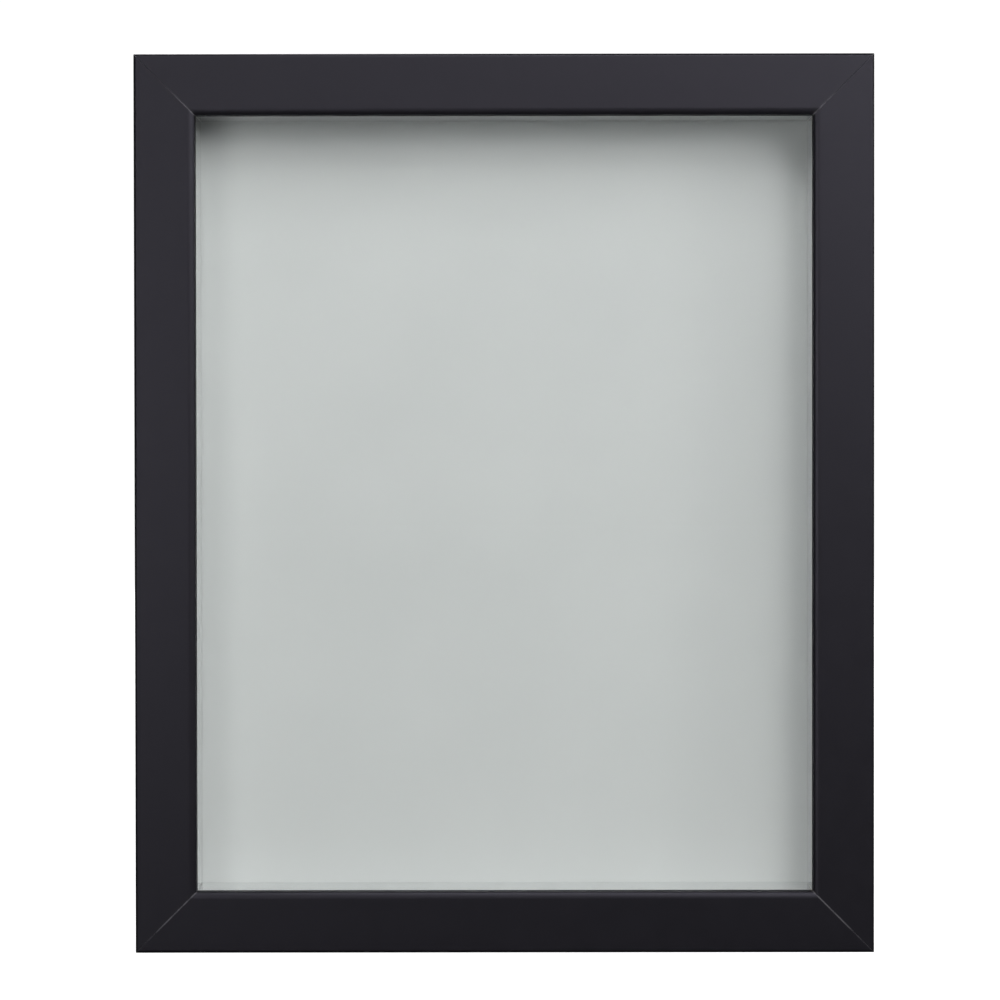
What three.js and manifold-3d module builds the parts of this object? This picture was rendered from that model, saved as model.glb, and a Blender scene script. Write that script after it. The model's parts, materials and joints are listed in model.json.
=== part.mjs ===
// A rear-loading shadow box for an 8 x 10 inch display: a mitred wooden moulding holds a sheet of glass
// against its front lip, spacers keep the display board well behind the glass, and turn buttons on the
// back hold the back panel in. Two D-ring hangers and two rubber bumpers fit it to a wall, and the
// moulding is deep enough for the box to stand on a shelf by itself.
//
// Millimetres, +Z up. The front faces -Y. The origin is the middle of the underside of the moulding.

import * as THREE from "three";
import { mergeVertices } from "three/addons/utils/BufferGeometryUtils.js";
import Module from "manifold-3d";

// ---------------------------------------------------------------- driving dimensions

const GLASS_WIDTH = 203.2; // 8 in
const GLASS_HEIGHT = 254; // 10 in
const GLASS_THICKNESS = 2;
const REBATE_PLAY = 1.4; // between the glass and the rebate wall, on each side

const FRAME_DEPTH = 33;
const WALL_THICKNESS = 15; // of the moulding behind its lip
const LIP_WIDTH = 4.5; // how far the lip reaches over the glass
const LIP_DEPTH = 5.5;
const OUTER_ROUND = 1.0; // radius of the front outer edge
const SIGHT_ROUND = 2.4; // how far the soft edge round the window reaches across the face
const SIGHT_DROP = 0.9; // how far it falls back into the depth
const BACK_ROUND = 0.5; // radius of the back outer edge
const MITRE_GAP = 0.1; // how far each rail stops short of its mitre, along the rail

const SPACER_THICKNESS = 4;
const SPACER_PLAY = 0.3; // between a spacer and the rebate wall
const SPACER_BUTT_GAP = 0.15; // between the side spacers and the top and bottom ones
const BOARD_THICKNESS = 1.4;
const PANEL_THICKNESS = 3;
const PANEL_PLAY = 0.8;
const PANEL_ROUND = 2; // corner radius of the back panel
const PANEL_RECESS = 0.3; // how far the back panel lies below the back of the moulding
const STACK_GAP = 0.1; // between one layer of the stack and the next

const SEAT_GAP = 0.1; // under hardware that sits on the back of the moulding
const POCKET_GAP = 0.3; // round a nail or screw in the wood

const NAIL_LEG = 4.6; // each leg of a V-nail, across the back of the mitre
const NAIL_STRIP = 0.7; // thickness of the V-nail's steel
const NAIL_LENGTH = 12; // how deep a V-nail goes in
const NAIL_SINK = 0.2; // how far it is driven below the surface
const NAIL_PLACES = { outer: 3, inner: 8.5 }; // from the outer faces to the V-nail's corner

const BUTTON_ROUND = 5.5; // radius of a turn button's wide end, about its pivot
const BUTTON_TIP_ROUND = 4;
const BUTTON_REACH = 18; // from the pivot to the tip
const BUTTON_THICKNESS = 1.2;
const SCREW_HOLE = 2.1; // in the turn buttons and straps
const SIDE_BUTTON_OFFSETS = { upper: 95, lower: -95 }; // along a side, from its middle

const SCREW_HEAD = 3.4;
const SCREW_DOME = 2.1; // height of the pan head
const SCREW_SHANK = 1.6;
const SCREW_POINT = 2.5; // length of the tapered tip
const RECESS_WIDTH = 0.9; // of the cross recess
const RECESS_SPAN = 3.6;
const RECESS_DEPTH = 1.3;
const BUTTON_SCREW_LENGTH = 11;
const HANGER_SCREW_LENGTH = 10;

const STRAP_WIDTH = 8.6;
const STRAP_SHEET = 1; // thickness of the hanger strap's steel
const RING_WIRE = 1; // radius of the D-ring's wire
const RING_CLEARANCE = 0.25; // between the wire and the strap's knuckle
const RING_HALF_WIDTH = 6.5; // to the middle of the wire
const RING_CORNER = 1.6;
const RING_STRAIGHT = 2.5; // straight side of the D, before its bow starts
const STRAP_SCREW_DISTANCE = 15.5; // from the ring's axis to the screw
const STRAP_END_ROUND = 4.3;
const HANGER_INSET = 8.2; // from the outer side face to the hanger's middle
const HANGER_AXIS_OFFSET = 58; // ring axis above the middle of the side

const BUMPER_RADIUS = 4.5;
const BUMPER_THICKNESS = 4.8; // so that the bumpers stand further out than the rings
const BUMPER_ROUND = 0.8;
const BUMPER_OFFSET = 97; // from the middle of the bottom rail to each bumper

// ---------------------------------------------------------------- derived sizes

const REBATE_WIDTH = GLASS_WIDTH + 2 * REBATE_PLAY;
const REBATE_HEIGHT = GLASS_HEIGHT + 2 * REBATE_PLAY;
const OUTER_WIDTH = REBATE_WIDTH + 2 * WALL_THICKNESS;
const OUTER_HEIGHT = REBATE_HEIGHT + 2 * WALL_THICKNESS;
const FACE_WIDTH = WALL_THICKNESS + LIP_WIDTH;
const MIDDLE_Z = OUTER_HEIGHT / 2;
const FRONT_Y = -FRAME_DEPTH / 2;
const BACK_Y = FRAME_DEPTH / 2;

// The stack in the rebate, from the lip back to the panel.
const GLASS_FRONT_Y = FRONT_Y + LIP_DEPTH + STACK_GAP;
const SPACER_FRONT_Y = GLASS_FRONT_Y + GLASS_THICKNESS + STACK_GAP;
const PANEL_BACK_Y = BACK_Y - PANEL_RECESS;
const PANEL_FRONT_Y = PANEL_BACK_Y - PANEL_THICKNESS;
const BOARD_FRONT_Y = PANEL_FRONT_Y - STACK_GAP - BOARD_THICKNESS;
const SPACER_DEPTH = BOARD_FRONT_Y - STACK_GAP - SPACER_FRONT_Y;

const SEAT_Y = BACK_Y + SEAT_GAP;
const BUTTON_SCREW_Y = SEAT_Y + BUTTON_THICKNESS + SEAT_GAP; // underside of the screw's head
const HANGER_SCREW_Y = SEAT_Y + STRAP_SHEET + SEAT_GAP;
const KNUCKLE_BORE = RING_WIRE + RING_CLEARANCE;
const KNUCKLE_ROUND = KNUCKLE_BORE + STRAP_SHEET;
const HALF_TURN = Math.PI;
const QUARTER_TURN = Math.PI / 2;

// ---------------------------------------------------------------- materials

const finish = (color, roughness, metalness) =>
  new THREE.MeshStandardMaterial({ color, roughness, metalness });

const satinBlack = finish(0x2d2c31, 0.45, 0);
const clearGlass = finish(0xdfeae5, 0.05, 0);
const whiteSlip = finish(0xe6e6e4, 0.8, 0);
const greyBoard = finish(0xc2c6c4, 0.9, 0);
const fibreboard = finish(0x8a6a48, 0.75, 0);
const nickel = finish(0xb9b7b0, 0.3, 1);
const nailSteel = finish(0x8c8f92, 0.4, 1);
const blackRubber = finish(0x232323, 0.85, 0);

// ---------------------------------------------------------------- solids

const wasm = await Module();
wasm.setup();

// A shape as a closed solid, ready to be cut.
function solid(geometry) {
  const bare = geometry.clone();
  bare.deleteAttribute("normal");
  bare.deleteAttribute("uv");
  const merged = mergeVertices(bare, 1e-4);
  return new wasm.Manifold(
    new wasm.Mesh({
      numProp: 3,
      vertProperties: new Float32Array(merged.attributes.position.array),
      triVerts: new Uint32Array(merged.index.array),
    }),
  );
}

// A finished solid as the geometry of a mesh.
function geometryOf(made) {
  const mesh = made.getMesh();
  const geometry = new THREE.BufferGeometry();
  geometry.setAttribute(
    "position",
    new THREE.BufferAttribute(new Float32Array(mesh.vertProperties), 3),
  );
  geometry.setIndex(new THREE.BufferAttribute(new Uint32Array(mesh.triVerts), 1));
  return geometry;
}

const cut = (body, tools) =>
  geometryOf(tools.reduce((left, tool) => left.subtract(solid(tool)), solid(body)));

// A flat shape drawn in X and Z, made thick from yFrom to yTo.
function plate(shape, yFrom, yTo, curveSegments = 8) {
  return new THREE.ExtrudeGeometry(shape, {
    depth: yTo - yFrom,
    bevelEnabled: false,
    curveSegments,
  })
    .rotateX(QUARTER_TURN)
    .translate(0, yTo, 0);
}

const box = (sizeX, sizeY, sizeZ, x, y, z) =>
  new THREE.BoxGeometry(sizeX, sizeY, sizeZ).translate(x, y, z);

function roundedRectangle(width, height, radius) {
  const x = width / 2;
  const z = height / 2;
  const shape = new THREE.Shape();
  shape.absarc(x - radius, z - radius, radius, 0, QUARTER_TURN);
  shape.absarc(radius - x, z - radius, radius, QUARTER_TURN, HALF_TURN);
  shape.absarc(radius - x, radius - z, radius, HALF_TURN, 1.5 * HALF_TURN);
  shape.absarc(x - radius, radius - z, radius, 1.5 * HALF_TURN, 2 * HALF_TURN);
  shape.closePath();
  return shape;
}

function part(name, geometry, material, position = [0, 0, 0]) {
  const mesh = new THREE.Mesh(geometry, material);
  mesh.name = name;
  mesh.position.set(...position);
  return mesh;
}

// ---------------------------------------------------------------- the moulding

// The moulding's section: x runs in from the outer face, y runs back from the front face.
function mouldingSection() {
  const section = new THREE.Shape();
  section.moveTo(OUTER_ROUND, 0);
  section.lineTo(FACE_WIDTH - SIGHT_ROUND, 0);
  section.absellipse(
    FACE_WIDTH - SIGHT_ROUND,
    SIGHT_DROP,
    SIGHT_ROUND,
    SIGHT_DROP,
    -QUARTER_TURN,
    0,
  );
  section.lineTo(FACE_WIDTH, LIP_DEPTH);
  section.lineTo(WALL_THICKNESS, LIP_DEPTH);
  section.lineTo(WALL_THICKNESS, FRAME_DEPTH);
  section.absarc(BACK_ROUND, FRAME_DEPTH - BACK_ROUND, BACK_ROUND, QUARTER_TURN, HALF_TURN);
  section.absarc(OUTER_ROUND, OUTER_ROUND, OUTER_ROUND, HALF_TURN, 1.5 * HALF_TURN);
  section.closePath();
  return section;
}

// One length of moulding, mitred at both ends. It lies along X at the bottom of its side: its outer face
// is at z = 0 and its window edge at z = FACE_WIDTH.
function mouldingLength(length) {
  const geometry = new THREE.ExtrudeGeometry(mouldingSection(), {
    depth: length,
    bevelEnabled: false,
    curveSegments: 3,
  });
  const points = geometry.getAttribute("position");
  for (let i = 0; i < points.count; i++) {
    const inward = points.getX(i);
    const back = points.getY(i);
    const atFarEnd = points.getZ(i) > length / 2;
    const fromMiddle = length / 2 - inward - MITRE_GAP;
    points.setXYZ(i, atFarEnd ? -fromMiddle : fromMiddle, FRONT_Y + back, inward);
  }
  return geometry;
}

// The V-nail seen from the back: two legs square to each other, each along one rail, grown by gap.
function nailOutline(gap = 0) {
  const near = -gap;
  const inside = NAIL_STRIP + gap;
  const end = NAIL_LEG + gap;
  return new THREE.Shape(
    [
      [near, near],
      [end, near],
      [end, inside],
      [inside, inside],
      [inside, end],
      [near, end],
    ].map(([x, z]) => new THREE.Vector2(x, z)),
  );
}

const nailTop = BACK_Y - NAIL_SINK;
const nailPocket = () =>
  plate(nailOutline(POCKET_GAP), nailTop - NAIL_LENGTH - POCKET_GAP, BACK_Y + 1);

// The pockets that a rail shares with its neighbours, at both of its ends. length is the rail's length.
function nailPockets(length) {
  const pockets = [];
  for (const place of Object.values(NAIL_PLACES)) {
    const leftEnd = nailPocket().translate(place - length / 2, 0, place);
    const rightEnd = nailPocket()
      .rotateY(-QUARTER_TURN)
      .translate(length / 2 - place, 0, place);
    pockets.push(leftEnd, rightEnd);
  }
  return pockets;
}

// The hole in the wood for a screw whose head's underside is at headY.
function pilotHole(x, z, headY, screwLength) {
  const radius = SCREW_SHANK + POCKET_GAP;
  const bottomY = headY - screwLength - POCKET_GAP;
  const topY = BACK_Y + 1;
  const hole = new THREE.CylinderGeometry(radius, radius, topY - bottomY, 16);
  return hole.translate(x, (topY + bottomY) / 2, z);
}

// ---------------------------------------------------------------- hardware

// A pan-head screw with its shank along -Y, and the underside of its head at y = 0.
function screw(length) {
  const profile = new THREE.Path();
  profile.moveTo(0, -length);
  profile.lineTo(SCREW_SHANK, SCREW_POINT - length);
  profile.lineTo(SCREW_SHANK, 0);
  profile.lineTo(SCREW_HEAD, 0);
  profile.lineTo(SCREW_HEAD, SCREW_DOME * 0.35);
  profile.quadraticCurveTo(SCREW_HEAD * 0.85, SCREW_DOME, 0, SCREW_DOME);
  const turned = new THREE.LatheGeometry(profile.getPoints(4), 16);
  const recessMiddle = SCREW_DOME - RECESS_DEPTH / 2 + 0.5;
  const slot = (x, z) => box(x, RECESS_DEPTH + 1, z, 0, recessMiddle, 0);
  return cut(turned, [slot(RECESS_SPAN, RECESS_WIDTH), slot(RECESS_WIDTH, RECESS_SPAN)]);
}

// A stamped turn button. It turns about y through its origin, and its tongue points along +Z.
function turnButton() {
  const tipDistance = BUTTON_REACH - BUTTON_TIP_ROUND;
  const tangent = Math.acos((BUTTON_ROUND - BUTTON_TIP_ROUND) / tipDistance);
  const up = QUARTER_TURN;
  const outline = new THREE.Shape();
  outline.absarc(0, 0, BUTTON_ROUND, up + tangent, up - tangent + 2 * HALF_TURN);
  outline.absarc(0, tipDistance, BUTTON_TIP_ROUND, up - tangent, up + tangent);
  outline.closePath();
  const hole = new THREE.Path();
  hole.absarc(0, 0, SCREW_HOLE, 0, 2 * HALF_TURN, true);
  outline.holes.push(hole);
  return plate(outline, 0, BUTTON_THICKNESS);
}

// The hanger's strap, seen from the side: a strip whose upper end is rolled into a knuckle for the ring.
// The section's x runs up the box and its y runs back from the moulding; the ring's axis is at x = 0.
function strapSection() {
  const meet = Math.asin((KNUCKLE_ROUND - STRAP_SHEET) / KNUCKLE_ROUND);
  const stripEnd = -STRAP_SCREW_DISTANCE - STRAP_END_ROUND - 1;
  const section = new THREE.Shape();
  section.moveTo(stripEnd, 0);
  section.absarc(0, KNUCKLE_ROUND, KNUCKLE_ROUND, -QUARTER_TURN, HALF_TURN + meet);
  section.lineTo(stripEnd, STRAP_SHEET);
  section.closePath();
  const bore = new THREE.Path();
  bore.absarc(0, KNUCKLE_ROUND, KNUCKLE_BORE, 0, 2 * HALF_TURN, true);
  section.holes.push(bore);
  return section;
}

// The strap with its rounded lower end and its screw hole. The ring's axis is along X at z = 0.
function hangerStrap() {
  const strip = new THREE.ExtrudeGeometry(strapSection(), {
    depth: STRAP_WIDTH,
    bevelEnabled: false,
    curveSegments: 8,
  });
  // Section x becomes Z, section y stays Y, and the strip's width runs along X.
  strip.rotateY(-QUARTER_TURN).translate(STRAP_WIDTH / 2, 0, 0);
  const plan = new THREE.Shape();
  plan.moveTo(STRAP_WIDTH / 2, -STRAP_SCREW_DISTANCE);
  plan.lineTo(STRAP_WIDTH / 2, KNUCKLE_ROUND + 1);
  plan.lineTo(-STRAP_WIDTH / 2, KNUCKLE_ROUND + 1);
  plan.absarc(0, -STRAP_SCREW_DISTANCE, STRAP_END_ROUND, HALF_TURN, 2 * HALF_TURN);
  plan.closePath();
  const hole = new THREE.Path();
  hole.absarc(0, -STRAP_SCREW_DISTANCE, SCREW_HOLE, 0, 2 * HALF_TURN, true);
  plan.holes.push(hole);
  const planSolid = solid(plate(plan, -1, 2 * KNUCKLE_ROUND + 1));
  return geometryOf(solid(strip).intersect(planSolid));
}

// A line drawn in X and Z, as a curve in space.
class UprightCurve extends THREE.Curve {
  constructor(line) {
    super();
    this.line = line;
  }

  getPoint(t, target = new THREE.Vector3()) {
    const { x, y } = this.line.getPoint(t);
    return target.set(x, 0, y);
  }
}

// The D-ring hanging down: its straight bar lies along X through the origin, and its bow is below.
function dRing() {
  const side = RING_HALF_WIDTH;
  const barEnd = side - RING_CORNER;
  const bowTop = -RING_CORNER - RING_STRAIGHT;
  const line = new THREE.Path();
  line.moveTo(-barEnd, 0);
  line.lineTo(barEnd, 0);
  line.absarc(barEnd, -RING_CORNER, RING_CORNER, QUARTER_TURN, 0, true);
  line.lineTo(side, bowTop);
  line.absarc(0, bowTop, side, 0, -HALF_TURN, true);
  line.lineTo(-side, -RING_CORNER);
  line.absarc(-barEnd, -RING_CORNER, RING_CORNER, HALF_TURN, QUARTER_TURN, true);
  return new THREE.TubeGeometry(new UprightCurve(line), 48, RING_WIRE, 8, true);
}

function bumper() {
  const profile = new THREE.Path();
  const end = BUMPER_THICKNESS;
  profile.moveTo(0, 0);
  profile.lineTo(BUMPER_RADIUS, 0);
  profile.lineTo(BUMPER_RADIUS, end - BUMPER_ROUND);
  profile.absarc(BUMPER_RADIUS - BUMPER_ROUND, end - BUMPER_ROUND, BUMPER_ROUND, 0, QUARTER_TURN);
  profile.lineTo(0, end);
  return new THREE.LatheGeometry(profile.getPoints(2), 24);
}

// ---------------------------------------------------------------- assembly

const shadowBox = new THREE.Group();

// A side's group puts its pieces in place: in it the side lies at the bottom, with its outer face at
// z = 0 and x along it, and the group turns it round the middle of the box.
function sideGroup(turn, halfSpan) {
  const turned = new THREE.Group();
  turned.rotation.y = turn;
  turned.position.z = MIDDLE_Z;
  const side = new THREE.Group();
  side.position.z = -halfSpan;
  turned.add(side);
  shadowBox.add(turned);
  return side;
}

const sides = [
  { name: "bottom", turn: 0, length: OUTER_WIDTH, halfSpan: OUTER_HEIGHT / 2, buttons: { middle: 0 } },
  { name: "top", turn: HALF_TURN, length: OUTER_WIDTH, halfSpan: OUTER_HEIGHT / 2, buttons: { middle: 0 } },
  { name: "left", turn: QUARTER_TURN, length: OUTER_HEIGHT, halfSpan: OUTER_WIDTH / 2, along: -1 },
  { name: "right", turn: -QUARTER_TURN, length: OUTER_HEIGHT, halfSpan: OUTER_WIDTH / 2, along: 1 },
];

for (const { name, turn, length, halfSpan, buttons, along } of sides) {
  const side = sideGroup(turn, halfSpan);
  const isUpright = along !== undefined;
  const buttonOffsets = buttons ?? {
    upper: along * SIDE_BUTTON_OFFSETS.upper,
    lower: along * SIDE_BUTTON_OFFSETS.lower,
  };
  const pivotInset = WALL_THICKNESS / 2;

  const cuts = nailPockets(length);
  for (const x of Object.values(buttonOffsets)) {
    cuts.push(pilotHole(x, pivotInset, BUTTON_SCREW_Y, BUTTON_SCREW_LENGTH));
  }
  if (isUpright) {
    const hangerScrewX = along * (HANGER_AXIS_OFFSET - STRAP_SCREW_DISTANCE);
    cuts.push(pilotHole(hangerScrewX, HANGER_INSET, HANGER_SCREW_Y, HANGER_SCREW_LENGTH));
  }
  side.add(part(name + "_rail", cut(mouldingLength(length), cuts), satinBlack));

  // The top and bottom spacers run the whole width, and the side spacers stand between them.
  const rebateLength = length - 2 * WALL_THICKNESS;
  const endRoom = isUpright ? SPACER_PLAY + SPACER_THICKNESS + SPACER_BUTT_GAP : SPACER_PLAY;
  side.add(
    part(
      name + "_spacer",
      box(rebateLength - 2 * endRoom, SPACER_DEPTH, SPACER_THICKNESS, 0, 0, 0),
      whiteSlip,
      [0, SPACER_FRONT_Y + SPACER_DEPTH / 2, WALL_THICKNESS + SPACER_PLAY + SPACER_THICKNESS / 2],
    ),
  );

  for (const [place, x] of Object.entries(buttonOffsets)) {
    const label = isUpright ? `${name}_${place}` : name;
    const buttonScrew = screw(BUTTON_SCREW_LENGTH);
    side.add(
      part(label + "_turn_button", turnButton(), nickel, [x, SEAT_Y, pivotInset]),
      part(label + "_button_screw", buttonScrew, nickel, [x, BUTTON_SCREW_Y, pivotInset]),
    );
  }
}

// The hangers stand upright whichever side they are on, so they are placed straight in the box's frame.
for (const [name, sign] of [
  ["left", -1],
  ["right", 1],
]) {
  const x = sign * (OUTER_WIDTH / 2 - HANGER_INSET);
  const axisZ = MIDDLE_Z + HANGER_AXIS_OFFSET;
  const axisY = SEAT_Y + KNUCKLE_ROUND;
  shadowBox.add(part(name + "_hanger_strap", hangerStrap(), nickel, [x, SEAT_Y, axisZ]));
  shadowBox.add(part(name + "_hanger_ring", dRing(), nickel, [x, axisY, axisZ]));
  shadowBox.add(
    part(name + "_hanger_screw", screw(HANGER_SCREW_LENGTH), nickel, [
      x,
      HANGER_SCREW_Y,
      axisZ - STRAP_SCREW_DISTANCE,
    ]),
  );
  shadowBox.add(
    part(name + "_wall_bumper", bumper(), blackRubber, [
      sign * BUMPER_OFFSET,
      SEAT_Y,
      WALL_THICKNESS / 2,
    ]),
  );
}

// Two V-nails pull each mitre together from the back. Each nail's corner lies on the mitre line.
const corners = [
  { name: "bottom_left", signX: -1, signZ: -1, turn: 0 },
  { name: "bottom_right", signX: 1, signZ: -1, turn: -QUARTER_TURN },
  { name: "top_right", signX: 1, signZ: 1, turn: HALF_TURN },
  { name: "top_left", signX: -1, signZ: 1, turn: QUARTER_TURN },
];
for (const { name, signX, signZ, turn } of corners) {
  for (const [place, inset] of Object.entries(NAIL_PLACES)) {
    const nail = plate(nailOutline(), nailTop - NAIL_LENGTH, nailTop).rotateY(turn);
    const x = signX * (OUTER_WIDTH / 2 - inset);
    const z = MIDDLE_Z + signZ * (OUTER_HEIGHT / 2 - inset);
    shadowBox.add(part(`${name}_${place}_v_nail`, nail, nailSteel, [x, 0, z]));
  }
}

// The flat layers in the rebate.
const layerAt = (frontY, thickness) => [0, frontY + thickness / 2, MIDDLE_Z];
const sheet = (thickness) => new THREE.BoxGeometry(GLASS_WIDTH, thickness, GLASS_HEIGHT);
const panelOutline = roundedRectangle(
  REBATE_WIDTH - 2 * PANEL_PLAY,
  REBATE_HEIGHT - 2 * PANEL_PLAY,
  PANEL_ROUND,
);
shadowBox.add(
  part("glazing", sheet(GLASS_THICKNESS), clearGlass, layerAt(GLASS_FRONT_Y, GLASS_THICKNESS)),
  part("display_board", sheet(BOARD_THICKNESS), greyBoard, layerAt(BOARD_FRONT_Y, BOARD_THICKNESS)),
  part("back_panel", plate(panelOutline, PANEL_FRONT_Y, PANEL_BACK_Y, 4), fibreboard, [0, 0, MIDDLE_Z]),
);

export default shadowBox;
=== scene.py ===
"""A rear-loading shadow box, with its finish, hardware and a plain studio.

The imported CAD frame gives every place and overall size. Each visible piece is rebuilt here in finer
detail. Pieces are drawn in millimetres and scaled to metres when they are put in place.
"""

import json
import math
import random

import bmesh
import bpy
from mathutils import Matrix, Vector


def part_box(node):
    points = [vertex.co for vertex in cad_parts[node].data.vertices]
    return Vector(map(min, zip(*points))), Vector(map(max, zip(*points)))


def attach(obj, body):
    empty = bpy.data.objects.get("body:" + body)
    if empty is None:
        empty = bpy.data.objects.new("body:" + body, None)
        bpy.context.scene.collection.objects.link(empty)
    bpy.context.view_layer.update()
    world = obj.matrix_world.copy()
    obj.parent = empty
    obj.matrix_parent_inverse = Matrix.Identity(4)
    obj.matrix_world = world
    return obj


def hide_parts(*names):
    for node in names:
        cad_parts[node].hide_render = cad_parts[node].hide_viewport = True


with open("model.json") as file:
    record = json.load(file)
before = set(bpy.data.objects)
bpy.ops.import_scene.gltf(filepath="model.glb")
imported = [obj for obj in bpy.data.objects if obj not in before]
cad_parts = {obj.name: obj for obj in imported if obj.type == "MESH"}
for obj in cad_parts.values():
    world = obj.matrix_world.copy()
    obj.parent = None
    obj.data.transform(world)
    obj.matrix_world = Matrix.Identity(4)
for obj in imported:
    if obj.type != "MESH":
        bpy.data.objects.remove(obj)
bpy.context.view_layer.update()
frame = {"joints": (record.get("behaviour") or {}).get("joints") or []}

MM = 0.001


def box_mm(node):
    """A CAD node's lowest and highest corners, in millimetres."""
    low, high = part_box(node)
    return low / MM, high / MM


def pivot_m(node):
    """The point that a CAD node turns about, in metres."""
    return next(j["pos_m"] for j in frame["joints"] if j["child"] == node)


# ---------------------------------------------------------------- sizes, in millimetres

LEFT_X = box_mm("left_rail")[0].x
RIGHT_X = box_mm("right_rail")[1].x
BOTTOM_Z = box_mm("bottom_rail")[0].z
TOP_Z = box_mm("top_rail")[1].z
FRONT_Y = box_mm("bottom_rail")[0].y
BACK_Y = box_mm("bottom_rail")[1].y
WIDTH = RIGHT_X - LEFT_X
HEIGHT = TOP_Z - BOTTOM_Z
DEPTH = BACK_Y - FRONT_Y
MIDDLE_Z = (BOTTOM_Z + TOP_Z) / 2
FACE = box_mm("left_rail")[1].x - LEFT_X

WALL = 15.0  # moulding behind the lip
LIP_DEPTH = 5.5
OUTER_ROUND = 1.0
SIGHT_ROUND = 2.4  # across the face
SIGHT_DROP = 0.9  # into the depth
LIP_BACK_ROUND = 0.25
BACK_INNER_ROUND = 0.3
BACK_OUTER_ROUND = 0.5
MITRE_HALF_GAP = 0.015
MITRE_ROUND = 0.07  # the small round that the finish leaves along each mitre

NAIL_LEG = 4.6
NAIL_STRIP = 0.55
NAIL_FLARE = 0.18
NAIL_EDGE = 0.08
NAIL_FIT = 0.06  # wood round a driven nail

SCREW_HEAD = 3.4
SCREW_DOME = 2.1
SCREW_CREST = 1.6
SCREW_CORE = 1.15
SCREW_PITCH = 1.4
SCREW_NECK = 1.6
SCREW_POINT = 2.5
SCREW_TIP = 0.04  # its radius, as a share of the shank's
SCREW_RIM = 0.16  # round at the edge of the head
SCREW_SIDE = 0.62  # straight side of the head
SCREW_FIT = 0.06
SCREW_HOLE_DEEPER = 0.2
BUTTON_SCREW = 11.0  # length under the head
HANGER_SCREW = 10.0
THREAD_FLANK = 0.24  # of the pitch
THREAD_ROWS = 8  # to one turn
RECESS = (  # height, reach of an arm and half its width: at the floor, then past the crown
    (0.7, 0.75, 0.34),
    (SCREW_DOME + 0.5, 2.15, 0.62),
)
CUT_PAST = 1.0  # how far a cutter runs out of the wood

BUTTON_ROUND = 5.5
BUTTON_TIP_ROUND = 4.0
BUTTON_TIP_AT = 14.0
BUTTON_THICKNESS = 1.2
BUTTON_HOLE = 2.1
BUTTON_EDGE = 0.28
BUTTON_RIB = 0.35
BUTTON_RIB_FROM = 7.2  # along the tongue from the screw
BUTTON_RIB_TO = 13.6
BUTTON_RIB_HALF = 1.5
BUTTON_RIB_CREST = 0.25
BUTTON_LIFT = 0.45
BUTTON_LIFT_FROM = 11.5

STRAP_WIDTH = 8.6
STRAP_SHEET = 0.46
STRAP_LAYER = 0.52  # from one layer's middle to the other's
STRAP_HOLE_DOWN = 15.5
STRAP_END_ROUND = 4.3
STRAP_HOLE = 2.1
STRAP_TRIM = 1.0  # spare strip past the round end, cut off with it
STRAP_CUT = (-2, 8)  # depths that a cutter spans to pass through the strap
STRAP_CUT_TOP = 6  # clear above the knuckle
KNUCKLE_AXIS = 2.25  # above the moulding's back
KNUCKLE_MIDDLE = 1.49  # radius of the sheet's middle line round the ring
PINCH_DOWN = 4.2  # where the two layers of the strap meet below the ring

RING_WIRE = 1.0
RING_HALF_WIDTH = 6.5
RING_CORNER = 1.6
RING_STRAIGHT = 2.5

GLASS_ARRIS = 0.25
BOARD_EDGE = 0.12
FOAM_LINER = 0.45
FOAM_RECESS = 0.2
PANEL_CORNER = 2.0
PANEL_EDGE = 0.35

BUMPER_FLANGE = 0.55
BUMPER_ROUND = 0.8
BUMPER_DISH = 0.14

random.seed(8)  # for the angles that the screws stop at


# ---------------------------------------------------------------- meshes

def linked(name, data):
    """A new object in the scene."""
    made = bpy.data.objects.new(name, data)
    bpy.context.scene.collection.objects.link(made)
    return made


def new_object(name, verts, faces):
    mesh = bpy.data.meshes.new(name)
    mesh.from_pydata([tuple(v) for v in verts], [], faces)
    tidy = bmesh.new()
    tidy.from_mesh(mesh)
    bmesh.ops.remove_doubles(tidy, verts=tidy.verts, dist=1e-5)
    bmesh.ops.recalc_face_normals(tidy, faces=tidy.faces)
    tidy.to_mesh(mesh)
    tidy.free()
    return linked(name, mesh)


def carve(piece, cutter, operation="DIFFERENCE"):
    """Cuts piece with cutter, which is used up."""
    modifier = piece.modifiers.new("carve", "BOOLEAN")
    modifier.operation = operation
    modifier.solver = "EXACT"
    modifier.object = cutter
    graph = bpy.context.evaluated_depsgraph_get()
    carved = bpy.data.meshes.new_from_object(piece.evaluated_get(graph))
    piece.modifiers.clear()
    piece.data = carved
    bpy.data.objects.remove(cutter)


def place(piece, matrix, smooth_under=35):
    """Moves the mesh itself from local millimetres to its place in metres, and sets its shading."""
    mesh = piece.data
    mesh.transform(Matrix.Scale(MM, 4) @ matrix)
    if matrix.determinant() < 0:
        mesh.flip_normals()
    mesh.polygons.foreach_set("use_smooth", [True] * len(mesh.polygons))
    mesh.set_sharp_from_angle(angle=math.radians(smooth_under))
    mesh.update()
    flats = piece.modifiers.new("true_flats", "WEIGHTED_NORMAL")
    flats.keep_sharp = True


def dress(piece, materials, body, replaces):
    """Gives a placed piece its materials and says what it is in the frame."""
    for material in materials:
        piece.data.materials.append(material)
    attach(piece, body)
    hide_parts(*replaces)


def lofted(rings, closed_ends=True):
    """Vertices and faces of a skin over rings that all have the same number of points."""
    count = len(rings[0])
    verts = [point for ring in rings for point in ring]
    faces = []
    for row in range(len(rings) - 1):
        for i in range(count):
            j = (i + 1) % count
            a, b = row * count, (row + 1) * count
            faces.append((a + i, a + j, b + j, b + i))
    if closed_ends:
        last = (len(rings) - 1) * count
        faces.append(tuple(range(count))[::-1])
        faces.append(tuple(range(last, last + count)))
    return verts, faces


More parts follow.
